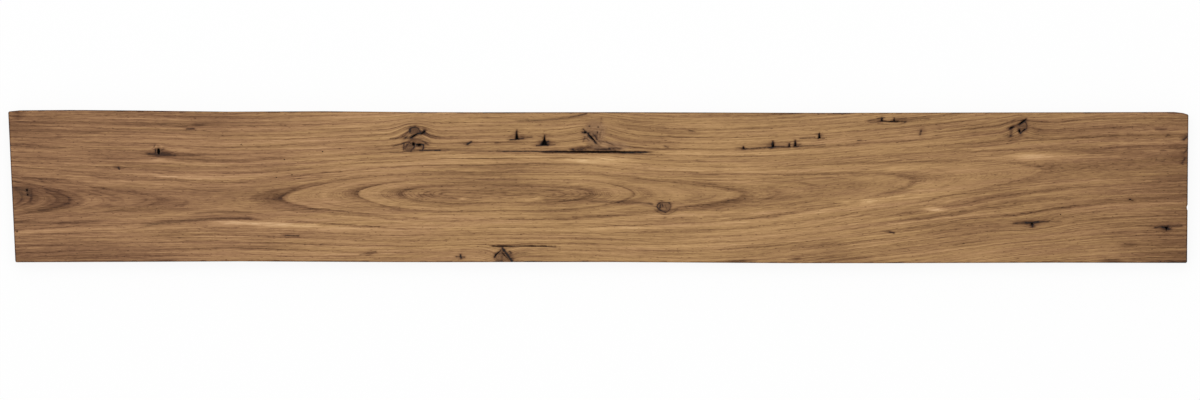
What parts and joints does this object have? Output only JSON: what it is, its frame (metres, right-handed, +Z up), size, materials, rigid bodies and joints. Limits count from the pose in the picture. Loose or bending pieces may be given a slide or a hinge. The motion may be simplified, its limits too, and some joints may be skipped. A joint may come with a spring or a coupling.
{
  "type": "reclaimed elm board",
  "caption": "Long flat-sawn elm plank with out-of-square ends, eased arrises, drying checks, open pin knots, a split-off corner and a nicked end.",
  "frame": {"origin": "middle of the underside, under the centre of the board's bounding box", "axes": "+X along the board towards the nicked right end, +Y across it towards the back edge, +Z up out of the planed face"},
  "size_m": [1.8059, 0.2344, 0.03],
  "materials": {
    "oiled_elm": "planed and oiled elm, satin"
  },
  "bodies": {
    "root": {"elm_board": "oiled_elm"}
  },
  "joints": []
}
